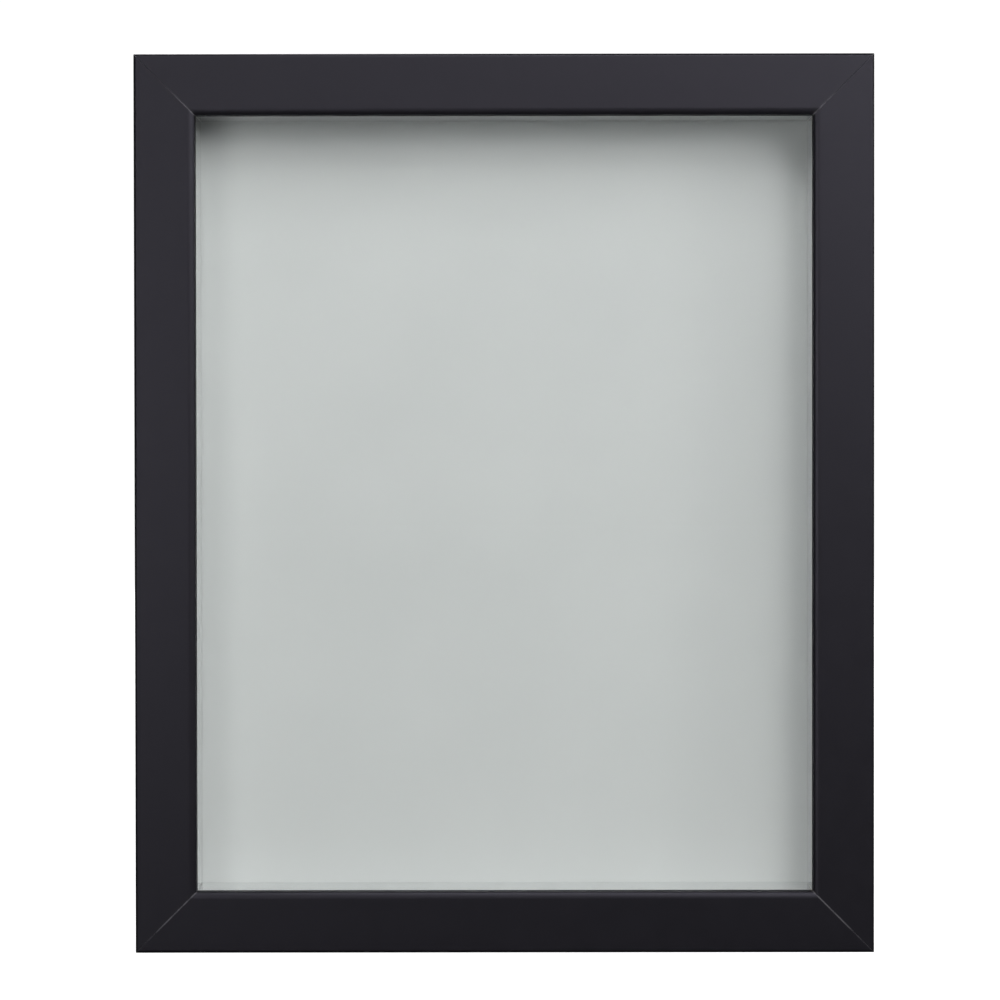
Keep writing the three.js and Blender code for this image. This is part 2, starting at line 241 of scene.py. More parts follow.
def prism(name, outline, y_from, y_to):
    """An outline of (x, z) points made thick along y."""
    rings = [[(x, y, z) for x, z in outline] for y in (y_from, y_to)]
    return new_object(name, *lofted(rings))


def arc(x, z, radius, start, end, steps):
    """Points on an arc, with its angles in degrees and both ends included."""
    points = []
    for i in range(steps + 1):
        angle = math.radians(start + (end - start) * i / steps)
        points.append((x + radius * math.cos(angle), z + radius * math.sin(angle)))
    return points


def revolved(rows, segments):
    """A closed turned shape about y. A row is (y, radius) or (y, function of the angle)."""
    verts = []
    faces = []
    for y, radius in rows:
        for i in range(segments):
            angle = 2 * math.pi * i / segments
            r = radius(angle) if callable(radius) else radius
            verts.append((r * math.cos(angle), y, r * math.sin(angle)))
    for row in range(len(rows) - 1):
        for i in range(segments):
            j = (i + 1) % segments
            a, b = row * segments, (row + 1) * segments
            faces.append((a + i, b + i, b + j, a + j))
    bottom = len(verts)
    verts += [(0, rows[0][0], 0), (0, rows[-1][0], 0)]
    last = (len(rows) - 1) * segments
    for i in range(segments):
        j = (i + 1) % segments
        faces.append((bottom, i, j))
        faces.append((bottom + 1, last + j, last + i))
    return verts, faces


def at_middle(low, high, y):
    """To the middle of a box across and up, and to y in depth."""
    return Matrix.Translation(((low.x + high.x) / 2, y, (low.z + high.z) / 2))


def smooth_step(low, high, value):
    t = min(max((value - low) / (high - low), 0.0), 1.0)
    return t * t * (3 - 2 * t)


def bevelled_block(name, size, edge, segments):
    """A block about the origin with rounded edges."""
    block = bmesh.new()
    bmesh.ops.create_cube(block, size=1.0)
    bmesh.ops.scale(block, vec=size, verts=block.verts)
    bmesh.ops.bevel(
        block,
        geom=block.edges[:],
        offset=edge,
        segments=segments,
        profile=0.5,
        affect="EDGES",
    )
    mesh = bpy.data.meshes.new(name)
    block.to_mesh(mesh)
    block.free()
    return linked(name, mesh)


# ---------------------------------------------------------------- material helpers

class Shader:
    """A material's node tree, built by short calls. An input is a number, a colour or a socket."""

    def __init__(self, name):
        self.material = bpy.data.materials.new(name)
        self.material.use_nodes = True
        self.tree = self.material.node_tree
        self.tree.nodes.clear()
        self.output = self.tree.nodes.new("ShaderNodeOutputMaterial")
        self.place = self.tree.nodes.new("ShaderNodeTexCoord").outputs["Object"]

    def node(self, kind, inputs=None, **settings):
        made = self.tree.nodes.new("ShaderNode" + kind)
        for key, value in settings.items():
            setattr(made, key, value)
        for key, value in (inputs or {}).items():
            self.put(made.inputs[key], value)
        return made

    def put(self, socket, value):
        if isinstance(value, bpy.types.NodeSocket):
            self.tree.links.new(value, socket)
        elif hasattr(value, "__len__") and len(value) == 3 and socket.type == "RGBA":
            socket.default_value = (*value, 1.0)
        else:
            socket.default_value = value

    def math(self, operation, a, b=0.0):
        return self.node("Math", {0: a, 1: b}, operation=operation).outputs[0]

    def span(self, value, low, high, to_low=0.0, to_high=1.0):
        """value from low..high to to_low..to_high, held at the ends and eased between them."""
        inputs = {"Value": value, 1: low, 2: high, 3: to_low, 4: to_high}
        made = self.node("MapRange", inputs, interpolation_type="SMOOTHSTEP")
        return made.outputs["Result"]

    def mix(self, share, a, b):
        made = self.node("Mix", data_type="RGBA")
        self.put(made.inputs["Factor"], share)
        self.put(made.inputs[6], a)
        self.put(made.inputs[7], b)
        return made.outputs[2]

    def blend(self, share, a, b):
        """The same for plain numbers."""
        made = self.node("Mix", data_type="FLOAT")
        self.put(made.inputs["Factor"], share)
        self.put(made.inputs[2], a)
        self.put(made.inputs[3], b)
        return made.outputs[0]

    def noise(self, size_mm, detail=3.0, stretch=(1, 1, 1), roughness=0.55):
        """Noise whose blotches are about size_mm across, from 0 to 1. stretch lengthens them."""
        scale = [1 / s for s in stretch]
        mapped = self.node("Mapping", {"Vector": self.place, "Scale": scale})
        inputs = {
            "Vector": mapped.outputs[0],
            "Scale": 1 / (size_mm * MM),
            "Detail": detail,
            "Roughness": roughness,
        }
        return self.node("TexNoise", inputs).outputs[0]

    def bump(self, height, depth_mm, after=None):
        inputs = {"Height": height, "Distance": depth_mm * MM, "Strength": 1.0}
        made = self.node("Bump", inputs)
        if after is not None:
            self.put(made.inputs["Normal"], after)
        return made.outputs[0]

    def surface(self, **inputs):
        """The Principled shader that the material ends in."""
        names = {
            "color": "Base Color",
            "roughness": "Roughness",
            "metallic": "Metallic",
            "normal": "Normal",
            "specular": "Specular IOR Level",
            "specular_tint": "Specular Tint",
            "coat": "Coat Weight",
            "coat_roughness": "Coat Roughness",
        }
        settings = {names[key]: value for key, value in inputs.items()}
        made = self.node("BsdfPrincipled", settings)
        self.tree.links.new(made.outputs[0], self.output.inputs["Surface"])
        return self.material


# ---------------------------------------------------------------- materials

def satin_black_moulding():
    """Black lacquer on the face, sides and lip. Bare wood in the rebate and on the back."""
    shader = Shader("satin_black_moulding")
    section = shader.node("Attribute", attribute_name="section")
    split = shader.node("SeparateXYZ", {0: section.outputs["Vector"]}).outputs
    inward, back = split[1], split[2]

    def grain(scale, detail):
        """Noise laid along the rail, with this many blotches to a millimetre each way."""
        mapped = shader.node("Mapping", {"Vector": section.outputs["Vector"], "Scale": scale})
        inputs = {"Vector": mapped.outputs[0], "Scale": 1.0, "Detail": detail}
        return shader.node("TexNoise", inputs).outputs[0]

    # Lacquer: a deep black with a faint mottle, orange peel and a slow waviness.
    mottle = shader.noise(14, 4)
    lacquer = shader.mix(mottle, (0.0026, 0.0024, 0.0032), (0.0040, 0.0037, 0.0048))
    dust = shader.span(shader.noise(0.5, 2), 0.70, 0.78)
    lacquer = shader.mix(shader.math("MULTIPLY", dust, 0.25), lacquer, (0.02, 0.02, 0.022))
    lacquer_rough = shader.span(shader.noise(6, 3), 0.2, 0.8, 0.37, 0.41)

    # Behind its round, the wall of the lip is rougher than the face.
    lip_wall = shader.math(
        "MULTIPLY",
        shader.span(inward, FACE - 0.12, FACE - 0.04),
        shader.span(back, SIGHT_DROP, SIGHT_DROP + 0.4),
    )
    lacquer_rough = shader.blend(lip_wall, lacquer_rough, 0.75)

    # A mitre shows as a hair of paler filler. The same paler hair is also a painted highlight for the light
    # that the joint catches: it is broken here and there, weaker towards the outer corner, and weaker still
    # on the upper corners.
    place = shader.node("SeparateXYZ", {0: shader.place}).outputs
    from_side = shader.math("SUBTRACT", WIDTH / 2 * MM, shader.math("ABSOLUTE", place[0]))
    height = shader.math("SUBTRACT", place[2], MIDDLE_Z * MM)
    from_end = shader.math("SUBTRACT", HEIGHT / 2 * MM, shader.math("ABSOLUTE", height))
    off_mitre = shader.math("ABSOLUTE", shader.math("SUBTRACT", from_side, from_end))
    filler_and_highlight = shader.span(off_mitre, 0.14 * MM, 0.50 * MM, 1.0, 0.0)
    broken = shader.span(shader.noise(2.2, 3), 0.34, 0.54, 0.3, 1.0)
    # The upper corners show less of the painted highlight.
    high_up = shader.span(height, -0.1, 0.1, 0.0, 8.0 * MM)
    shown = shader.math("SUBTRACT", from_side, high_up)
    towards_window = shader.span(shown, 1.0 * MM, 13.0 * MM, 0.12, 1.0)
    on_front = shader.span(back, 0.5, 1.5, 1.0, 0.3)
    for factor in (broken, towards_window, on_front):
        filler_and_highlight = shader.math("MULTIPLY", filler_and_highlight, factor)
    # The paler grey is filler and also a painted highlight along the joint.
    lacquer = shader.mix(filler_and_highlight, lacquer, (0.080, 0.078, 0.084))

    # Wood: pale, with long streaks and short dark pores along the rail.
    streaks = grain((0.02, 0.9, 0.9), 5.0)
    pore_marks = shader.span(grain((0.35, 7.0, 7.0), 2.0), 0.60, 0.72)
    saw_marks = grain((1.6, 0.05, 0.05), 1.0)
    wood = shader.mix(streaks, (0.42, 0.27, 0.145), (0.66, 0.48, 0.30))
    wood = shader.mix(shader.math("MULTIPLY", pore_marks, 0.45), wood, (0.24, 0.13, 0.06))

    # The lacquer laps a little way on to the back. It wanders and ends in a fine overspray.
    wander = grain((0.06, 0.2, 0.2), 3.0)
    lap = shader.math("ADD", inward, shader.math("MULTIPLY", wander, 1.2))
    mist = shader.math("MULTIPLY", shader.noise(0.28, 2), 1.5)
    beyond_lap = shader.span(shader.math("ADD", lap, mist), 2.7, 3.6)
    at_back = shader.span(back, DEPTH - 0.12, DEPTH - 0.04)
    in_rebate = shader.math(
        "MULTIPLY",
        shader.span(inward, WALL - 0.35, WALL - 0.2),
        shader.span(back, LIP_DEPTH - 0.06, LIP_DEPTH - 0.02),
    )
    bare = shader.math("MAXIMUM", shader.math("MULTIPLY", beyond_lap, at_back), in_rebate)

    peel = shader.bump(shader.noise(1.1, 2), 0.006)
    peel = shader.bump(shader.noise(9, 1), 0.006, after=peel)
    tooth = shader.bump(shader.math("ADD", streaks, saw_marks), 0.05)
    tooth = shader.bump(pore_marks, -0.03, after=tooth)
    normal = shader.node("Mix", data_type="VECTOR")
    shader.put(normal.inputs["Factor"], bare)
    shader.put(normal.inputs[4], peel)
    shader.put(normal.inputs[5], tooth)
    return shader.surface(
        color=shader.mix(bare, lacquer, wood),
        roughness=shader.blend(bare, lacquer_rough, 0.72),
        normal=normal.outputs[1],
        specular=0.245,
        specular_tint=(0.85, 0.82, 1.0, 1.0),
    )


def nickel(name, tone, rough_low, rough_high):
    """Plated steel with a faint cloudiness, fine rubbing marks and some pits."""
    shader = Shader(name)
    cloud = shader.noise(3, 4)
    dull = [channel * 0.82 for channel in tone]
    marks = shader.noise(0.35, 2, stretch=(6, 1, 1))
    pits = shader.span(shader.noise(0.25, 1), 0.72, 0.8)
    color = shader.mix(cloud, dull, tone)
    color = shader.mix(shader.math("MULTIPLY", pits, 0.35), color, (0.16, 0.15, 0.13))
    normal = shader.bump(marks, 0.004)
    normal = shader.bump(pits, -0.01, after=normal)
    return shader.surface(
        color=color,
        roughness=shader.span(cloud, 0.25, 0.75, rough_low, rough_high),
        metallic=1.0,
        normal=normal,
    )


GLASS_MIRRORS = 0.034  # share of the light that one face mirrors when seen square on


def clear_glass():
    """Float glass: it lets nearly everything through and mirrors a little at its surface.

    The mirrored share is Schlick's curve, which is the same on both faces of the sheet. A Fresnel
    node turns its index round on the far face, and would stop all light that crosses at a slant.
    """
    shader = Shader("clear_glass")
    smear = shader.span(shader.noise(30, 3), 0.3, 0.8, 0.012, 0.03)
    through = shader.node("BsdfTransparent", {"Color": (0.985, 0.992, 0.988)})
    mirrored = shader.node("BsdfGlossy", {"Color": (1.0, 1.0, 1.0), "Roughness": smear})
    slant = shader.node("LayerWeight", {"Blend": 0.5}).outputs["Facing"]
    rising = shader.math("MULTIPLY", shader.math("POWER", slant, 5.0), 1 - GLASS_MIRRORS)
    share = shader.math("ADD", rising, GLASS_MIRRORS)
    mixed = shader.node("MixShader", {0: share})
    shader.put(mixed.inputs[1], through.outputs[0])
    shader.put(mixed.inputs[2], mirrored.outputs[0])
    shader.put(shader.output.inputs["Surface"], mixed.outputs[0])
    return shader.material


def glass_edge():
    """The cut edge of the sheet, where the glass looks green and is ground matt."""
    shader = Shader("glass_edge")
    grind = shader.noise(0.4, 3, stretch=(5, 1, 5))
    return shader.surface(
        color=shader.mix(grind, (0.16, 0.34, 0.27), (0.30, 0.52, 0.44)),
        roughness=shader.span(grind, 0.2, 0.8, 0.3, 0.55),
        normal=shader.bump(grind, 0.03),
    )


def paper(name, dark, light, fibre_mm, depth_mm, roughness=(0.8, 0.92), specular=0.25, coat=0.0):
    """Paper, card or paper foil: slow clouds of tone, fine fibres and a soft tooth."""
    shader = Shader(name)
    cloud = shader.noise(45, 3)
    fibre = shader.noise(fibre_mm, 4, stretch=(2.2, 2.2, 1), roughness=0.65)
    tone = shader.math("ADD", shader.math("MULTIPLY", cloud, 0.55), shader.math("MULTIPLY", fibre, 0.45))
    return shader.surface(
        color=shader.mix(shader.span(tone, 0.3, 0.7), dark, light),
        roughness=shader.span(fibre, 0.25, 0.75, *roughness),
        normal=shader.bump(fibre, depth_mm),
        specular=specular,
        coat=coat,
        coat_roughness=0.05,
    )


def foam_core():
    shader = Shader("foam_core")
    cells = shader.node("TexVoronoi", {"Vector": shader.place, "Scale": 1 / (0.35 * MM)})
    return shader.surface(
        color=shader.mix(cells.outputs["Distance"], (0.80, 0.80, 0.79), (0.70, 0.70, 0.68)),
        roughness=0.9,
        normal=shader.bump(cells.outputs["Distance"], 0.08),
    )


def hardboard():
    """Brown fibreboard, calendered smooth, with darker fibres, flecks and a few scuffs."""
    shader = Shader("hardboard")
    cloud = shader.noise(22, 4)
    fibre = shader.noise(0.8, 5, stretch=(3.0, 1, 1.0), roughness=0.7)
    cross_fibre = shader.noise(0.9, 5, stretch=(1, 1, 3.4), roughness=0.7)
    tangle = shader.math("MULTIPLY", fibre, cross_fibre)
    color = shader.mix(shader.span(cloud, 0.3, 0.7), (0.205, 0.118, 0.060), (0.270, 0.162, 0.086))
    color = shader.mix(shader.span(tangle, 0.16, 0.40), (0.135, 0.073, 0.035), color)
    flecks = shader.span(shader.noise(0.7, 1, stretch=(1.6, 1, 1)), 0.69, 0.75)
    color = shader.mix(shader.math("MULTIPLY", flecks, 0.5), color, (0.42, 0.29, 0.17))
    scuff = shader.noise(0.5, 2, stretch=(26, 1, 2))
    scuffs = shader.math("MULTIPLY", shader.span(scuff, 0.66, 0.74), shader.span(cloud, 0.5, 0.62))
    color = shader.mix(shader.math("MULTIPLY", scuffs, 0.35), color, (0.38, 0.26, 0.16))
    normal = shader.bump(tangle, 0.05)
    normal = shader.bump(scuffs, -0.02, after=normal)
    return shader.surface(
        color=color,
        roughness=shader.span(fibre, 0.2, 0.8, 0.52, 0.70),
        normal=normal,
        specular=0.4,
    )


def black_rubber():
    shader = Shader("black_rubber")
    bloom = shader.noise(2.5, 4)
    skin = shader.noise(0.3, 3)
    return shader.surface(
        color=shader.mix(bloom, (0.012, 0.012, 0.012), (0.028, 0.027, 0.026)),
        roughness=shader.span(bloom, 0.3, 0.7, 0.62, 0.82),
        normal=shader.bump(skin, 0.03),
        specular=0.35,
    )


MOULDING = satin_black_moulding()
PLATED = nickel("plated_steel", (0.64, 0.62, 0.57), 0.24, 0.36)
SCREW_STEEL = nickel("screw_steel", (0.60, 0.585, 0.55), 0.20, 0.32)
NAIL_STEEL = nickel("nail_steel", (0.42, 0.42, 0.41), 0.35, 0.5)
GLASS = clear_glass()
GLASS_EDGE = glass_edge()
SPACER_FACE = paper(
    "white_spacer_foil",
    (0.47, 0.475, 0.48),
    (0.50, 0.505, 0.51),
    fibre_mm=0.35,
    depth_mm=0.0006,
    roughness=(0.05, 0.09),
    specular=0.5,
    coat=1.0,
)
FOAM = foam_core()
BOARD_FACE = paper("grey_board_paper", (0.562, 0.575, 0.575), (0.588, 0.600, 0.600), 0.45, 0.008)
BOARD_CORE = paper("grey_board_core", (0.60, 0.59, 0.55), (0.70, 0.69, 0.65), 0.25, 0.03)
HARDBOARD = hardboard()
RUBBER = black_rubber()


# ---------------------------------------------------------------- the moulding

def rail_outline(inset):
    """The moulding's section as (inward, back) points, drawn inset by that much."""
    near, far = inset, -inset
    corners = (
        (near, near, OUTER_ROUND, OUTER_ROUND, 180, 6),
        (FACE + far, near, SIGHT_ROUND, SIGHT_DROP, 270, 14),
        (FACE + far, LIP_DEPTH + far, LIP_BACK_ROUND, LIP_BACK_ROUND, 0, 3),
        (WALL + far, LIP_DEPTH + far, 0, 0, 0, 0),
        (WALL + far, DEPTH + far, BACK_INNER_ROUND, BACK_INNER_ROUND, 0, 3),
        (near, DEPTH + far, BACK_OUTER_ROUND, BACK_OUTER_ROUND, 90, 5),
    )
    points = []
    for inward, back, across, deep, start, steps in corners:
        if not steps:
            points.append((inward, back))
            continue
        middle = math.radians(start + 45)
        across, deep = max(across - inset, 0.02), max(deep - inset, 0.02)
        centre_in = inward - math.copysign(across, math.cos(middle))
        centre_back = back - math.copysign(deep, math.sin(middle))
        for x, y in arc(0, 0, 1, start, start + 90, steps):
            points.append((centre_in + across * x, centre_back + deep * y))
    return points


def rail_rings(length):
    """The rail from one mitred end to the other, lying along x with its outer face at z = 0."""
    steps = 4
    ends = []
    for i in range(steps + 1):
        angle = math.radians(90 * i / steps)
        inset = MITRE_ROUND * (1 - math.cos(angle))
        short = MITRE_HALF_GAP + MITRE_ROUND * (1 - math.sin(angle))
        ends.append((inset, short * math.sqrt(2)))
    rings = []
    for sign, order in ((-1, reversed(ends)), (1, ends)):
        for inset, short in order:
            ring = []
            for inward, back in rail_outline(inset):
                reach = length / 2 - inward - short
                ring.append((sign * reach, FRONT_Y + back, inward))
            rings.append(ring)
    return rings


def nail_outline(grow=0.0):
    """A V-nail seen from the back, its corner at the origin and its legs a little flared."""
    leg = NAIL_LEG + grow
    near, inside = -grow, NAIL_STRIP + grow
    bend = NAIL_LEG * 0.7
    return [
        (near, near),
        (bend, near),
        (leg, near - NAIL_FLARE),
        (leg, inside - NAIL_FLARE),
        (bend, inside),
        (inside, inside),
        (inside, bend),
        (inside - NAIL_FLARE, leg),
        (near - NAIL_FLARE, leg),
        (near, bend),
    ]


def side_matrix(turn, half_span):
    """From a side lying at the bottom, with its outer face at z = 0, to its own side of the box."""
    up = Matrix.Translation((0, 0, MIDDLE_Z))
    down = Matrix.Translation((0, 0, -half_span))
    return up @ Matrix.Rotation(turn, 4, "Y") @ down


SIDES = {
    "bottom": (0, WIDTH, HEIGHT / 2),
    "top": (math.pi, WIDTH, HEIGHT / 2),
    "left": (math.pi / 2, HEIGHT, WIDTH / 2),
    "right": (-math.pi / 2, HEIGHT, WIDTH / 2),
}
CORNERS = {
    "bottom_left": (-1, -1, 0),
    "bottom_right": (1, -1, -math.pi / 2),
    "top_right": (1, 1, math.pi),
    "top_left": (-1, 1, math.pi / 2),
}
BUTTONS = ["top", "bottom", "left_upper", "left_lower", "right_upper", "right_lower"]
HANGERS = ["left", "right"]
BUTTON_TURN = {
    "bottom": 0,
    "top": math.pi,
    "left": math.pi / 2,
    "right": -math.pi / 2,
}


def nail_matrix(corner, place_name):
    """Where a V-nail's corner is, on the back face, and how it is turned."""
    sign_x, sign_z, turn = CORNERS[corner]
    low, high = box_mm(f"{corner}_{place_name}_v_nail")
    x = low.x if sign_x < 0 else high.x
    z = low.z if sign_z < 0 else high.z
    return Matrix.Translation((x, 0, z)) @ Matrix.Rotation(turn, 4, "Y")


def nail_span(corner, place_name):
    low, high = box_mm(f"{corner}_{place_name}_v_nail")
    return low.y, high.y


def wood_cuts(side):
    """What is driven or screwed into a side's back: a cutter for each nail and screw."""
    cutters = []
    for corner in CORNERS:
        if side in corner.split("_"):
            for place_name in ("outer", "inner"):
                low, _ = nail_span(corner, place_name)
                cutter = prism("cutter", nail_outline(NAIL_FIT), low - NAIL_FIT, BACK_Y + CUT_PAST)
                cutter.data.transform(nail_matrix(corner, place_name))
                cutters.append(cutter)
    names = [f"{b}_button_screw" for b in BUTTONS if b.split("_")[0] == side]
    if side in HANGERS:
        names.append(f"{side}_hanger_screw")
    for name in names:
        low, high = box_mm(name)
        radius = SCREW_CREST + SCREW_FIT
        hole = arc(0, 0, radius, 0, 360, 20)[:-1]
        cutter = prism("cutter", hole, low.y - SCREW_HOLE_DEEPER, BACK_Y + CUT_PAST)
        cutter.data.transform(at_middle(low, high, 0))
        cutters.append(cutter)
    return cutters


def make_rail(side):
    turn, length, half_span = SIDES[side]
    matrix = side_matrix(turn, half_span)
    piece = new_object(f"{side}_moulding", *lofted(rail_rings(length)))
    back_home = matrix.inverted()
    for cutter in wood_cuts(side):
        cutter.data.transform(back_home)
        carve(piece, cutter)
    section = piece.data.attributes.new("section", "FLOAT_VECTOR", "POINT")
    for vertex, stored in zip(piece.data.vertices, section.data):
        stored.vector = (vertex.co.x, vertex.co.z, vertex.co.y - FRONT_Y)
    place(piece, matrix, 30)
    dress(piece, [MOULDING], "frame", [f"{side}_rail"])


def make_nail(corner, place_name):
    low, high = nail_span(corner, place_name)
    rings = []
    for y, shrink in ((low, 0.0), (high - NAIL_EDGE, 0.0), (high, NAIL_EDGE)):
        rings.append([(x, y, z) for x, z in nail_outline(-shrink)])
    piece = new_object(f"{corner}_{place_name}_corner_nail", *lofted(rings))
    place(piece, nail_matrix(corner, place_name))
    dress(piece, [NAIL_STEEL], "frame", [f"{corner}_{place_name}_v_nail"])


# ---------------------------------------------------------------- what the rebate holds

def make_sheet(node, name, edge, segments, materials, facing):
    """A flat sheet. A face whose normal has more than facing along y takes the first material."""
    low, high = box_mm(node)
    piece = bevelled_block(name, high - low, edge, segments)
    place(piece, Matrix.Translation((low + high) / 2))
    dress(piece, materials, "frame", [node])
    for face in piece.data.polygons:
        face.material_index = 0 if abs(face.normal.y) > facing else 1


def make_glass():
    make_sheet("glazing", "glass_sheet", GLASS_ARRIS, 1, [GLASS, GLASS_EDGE], 0.9)


def make_board():
    materials = [BOARD_FACE, BOARD_CORE]
    make_sheet("display_board", "grey_display_board", BOARD_EDGE, 2, materials, 0.5)


def make_spacer(side):
    """A foam-board strip: two paper liners with the foam between them a little sunk."""
    turn, _, half_span = SIDES[side]
    matrix = side_matrix(turn, half_span)
    low, high = box_mm(f"{side}_spacer")
    size = high - low
    upright = side in HANGERS
    length = size.z if upright else size.x
    thick = size.x if upright else size.z
    deep = size.y
    core_from, core_to = FOAM_LINER, thick - FOAM_LINER
    half_section = [(0, 0), (core_from, 0), (core_from, FOAM_RECESS), (core_to, FOAM_RECESS)]
    half_section += [(core_to, 0), (thick, 0)]
    section = half_section + [(t, deep - y) for t, y in reversed(half_section)]
    rings = [[(x, y, t) for t, y in section] for x in (-length / 2, length / 2)]
    piece = new_object(f"{side}_spacer_strip", *lofted(rings))
    outer_gap = {
        "bottom": low.z - BOTTOM_Z,
        "top": TOP_Z - high.z,
        "left": low.x - LEFT_X,
        "right": RIGHT_X - high.x,
    }[side]
    place(piece, matrix @ Matrix.Translation((0, low.y, outer_gap)), 30)
    dress(piece, [SPACER_FACE, FOAM], "frame", [f"{side}_spacer"])
    for face in piece.data.polygons:
        sunk = abs(face.normal.y) > 0.9 and face.area > FOAM_LINER * length * 2 * MM * MM
        cut_end = abs(face.normal.z if upright else face.normal.x) > 0.9
        face.material_index = 1 if sunk or cut_end else 0


def make_back_panel():
    low, high = box_mm("back_panel")
    size = high - low
    edge = PANEL_EDGE
    rings = []
    for y, inset in (
        (low.y, edge),
        (low.y + edge * 0.3, edge * 0.3),
        (low.y + edge, 0),
        (high.y - edge, 0),
        (high.y - edge * 0.3, edge * 0.3),
        (high.y, edge),
    ):
        half_x, half_z, r = size.x / 2 - inset, size.z / 2 - inset, PANEL_CORNER - inset
        outline = []
        for sign_x, sign_z, start in ((1, 1, 0), (-1, 1, 90), (-1, -1, 180), (1, -1, 270)):
            x, z = sign_x * (half_x - r), sign_z * (half_z - r)
            outline += arc(x, z, r, start, start + 90, 6)
        rings.append([(x, y, z + MIDDLE_Z) for x, z in outline])
    piece = new_object("hardboard_back", *lofted(rings))
    place(piece, Matrix.Identity(4), 30)
    dress(piece, [HARDBOARD], "frame", ["back_panel"])


# ---------------------------------------------------------------- hardware

def thread_radius(y, length):
    """The screw's radius at a height below its head, as a function of the angle."""
    from_point = y + length
    taper = min(max(from_point / SCREW_POINT, SCREW_TIP), 1.0)

    def radius(angle):
        turn = (y / SCREW_PITCH - angle / (2 * math.pi)) % 1.0
        ridge = max(0.0, 1 - abs(turn - 0.5) / THREAD_FLANK)
        return taper * (SCREW_CORE + (SCREW_CREST - SCREW_CORE) * ridge)

    return radius


def screw_rows(length):
    rows = []
    count = round((length - SCREW_NECK) / (SCREW_PITCH / THREAD_ROWS))
    for i in range(count + 1):
        y = -length + (length - SCREW_NECK) * i / count
        rows.append((y, thread_radius(y, length)))
    neck = SCREW_CREST * 0.92
    rows += [(-SCREW_NECK + 0.25, neck), (-0.12, neck), (0, neck + 0.12)]
    rim = SCREW_RIM
    rows += [(0, SCREW_HEAD - rim)]
    rows += [(rim * (1 - math.cos(a)), SCREW_HEAD - rim * (1 - math.sin(a))) for a in (0.8, 1.57)]
    straight = SCREW_SIDE
    rows.append((straight, SCREW_HEAD))
    for i in range(1, 10):
        angle = math.radians(90 * i / 10)
        reach = math.cos(angle) ** 0.8
        rows.append((straight + (SCREW_DOME - straight) * math.sin(angle), SCREW_HEAD * reach))
    rows.append((SCREW_DOME, 0.25))
    return rows


def cross_recess():
    """The tapered cross that the driver fits, as a cutter."""
    rings = []
    for y, reach, half in RECESS:
        cross = []
        for quarter in range(4):
            turn = Matrix.Rotation(quarter * math.pi / 2, 2)
            for x, z in ((reach, -half), (reach, half), (half, half)):
                cross.append(turn @ Vector((x, z)))
        rings.append([(p.x, y, p.y) for p in cross])
    return new_object("cutter", *lofted(rings))


def make_screw(node, length, piece_name):
    """A pan-head screw with a cross recess, driven to its own angle."""
    piece = new_object(piece_name, *revolved(screw_rows(length), 40))
    carve(piece, cross_recess())
    low, high = box_mm(node)
    at = at_middle(low, high, high.y - SCREW_DOME)
    place(piece, at @ Matrix.Rotation(random.uniform(0, math.pi), 4, "Y"), 38)
    dress(piece, [SCREW_STEEL], "frame", [node])


def button_outline():
    """The turn button's edge as (across, along) points, with its tongue pointing along +z."""
    tangent = math.degrees(math.acos((BUTTON_ROUND - BUTTON_TIP_ROUND) / BUTTON_TIP_AT))
    wide = arc(0, 0, BUTTON_ROUND, 90 + tangent, 450 - tangent, 34)
    tip = arc(0, BUTTON_TIP_AT, BUTTON_TIP_ROUND, 90 - tangent, 90 + tangent, 22)

    def between(a, b, count):
        steps = [i / (count + 1) for i in range(1, count + 1)]
        return [(a[0] + (b[0] - a[0]) * t, a[1] + (b[1] - a[1]) * t) for t in steps]

    return wide + between(wide[-1], tip[0], 12) + tip + between(tip[-1], wide[0], 12)


def button_press(x, z):
    """How far the sheet is pressed up at a point: a rib down the tongue and a lifted tip."""
    nearest = min(max(z, BUTTON_RIB_FROM), BUTTON_RIB_TO)
    off = math.hypot(x, z - nearest)
    rib = BUTTON_RIB * (1 - smooth_step(BUTTON_RIB_CREST, BUTTON_RIB_HALF, off))
    return rib + BUTTON_LIFT * smooth_step(BUTTON_LIFT_FROM, BUTTON_TIP_AT + BUTTON_TIP_ROUND, z)


def make_button(name):
    """A stamped tongue: rings from the hole out to the edge, over the top and back underneath."""
    edge = BUTTON_EDGE
    rounding = [(edge * (1 - math.sin(a)), edge * (1 - math.cos(a))) for a in (0.0, 0.52, 1.05, 1.57)]
    top = BUTTON_THICKNESS
    outline = button_outline()
    spans = 15

    def ring(share, from_hole, from_rim, level):
        points = []
        for x, z in outline:
            reach = math.hypot(x, z)
            inner, outer = BUTTON_HOLE + from_hole, reach - from_rim
            r = inner + (outer - inner) * share
            px, pz = x / reach * r, z / reach * r
            points.append((px, level + button_press(px, pz), pz))
        return points

    rings = [ring(0, across, edge, top - down) for down, across in rounding]
    for i in range(1, spans):
        rings.append(ring(i / spans, edge, edge, top))
    rings += [ring(1, 0, across, top - down) for across, down in rounding]
    rings += [ring(1, 0, across, down) for across, down in reversed(rounding)]
    for i in range(spans - 1, 0, -1):
        rings.append(ring(i / spans, edge, edge, 0))
    rings += [ring(0, across, edge, down) for down, across in reversed(rounding)]
    rings.append(rings[0])
    piece = new_object(f"{name}_turn_tongue", *lofted(rings, closed_ends=False))

    node = f"{name}_turn_button"
    low, _ = box_mm(node)
    pivot = pivot_m(node)
    at = Matrix.Translation((pivot[0] / MM, low.y, pivot[2] / MM))
    place(piece, at @ Matrix.Rotation(BUTTON_TURN[name.split("_")[0]], 4, "Y"), 40)
    dress(piece, [PLATED], node, [node])


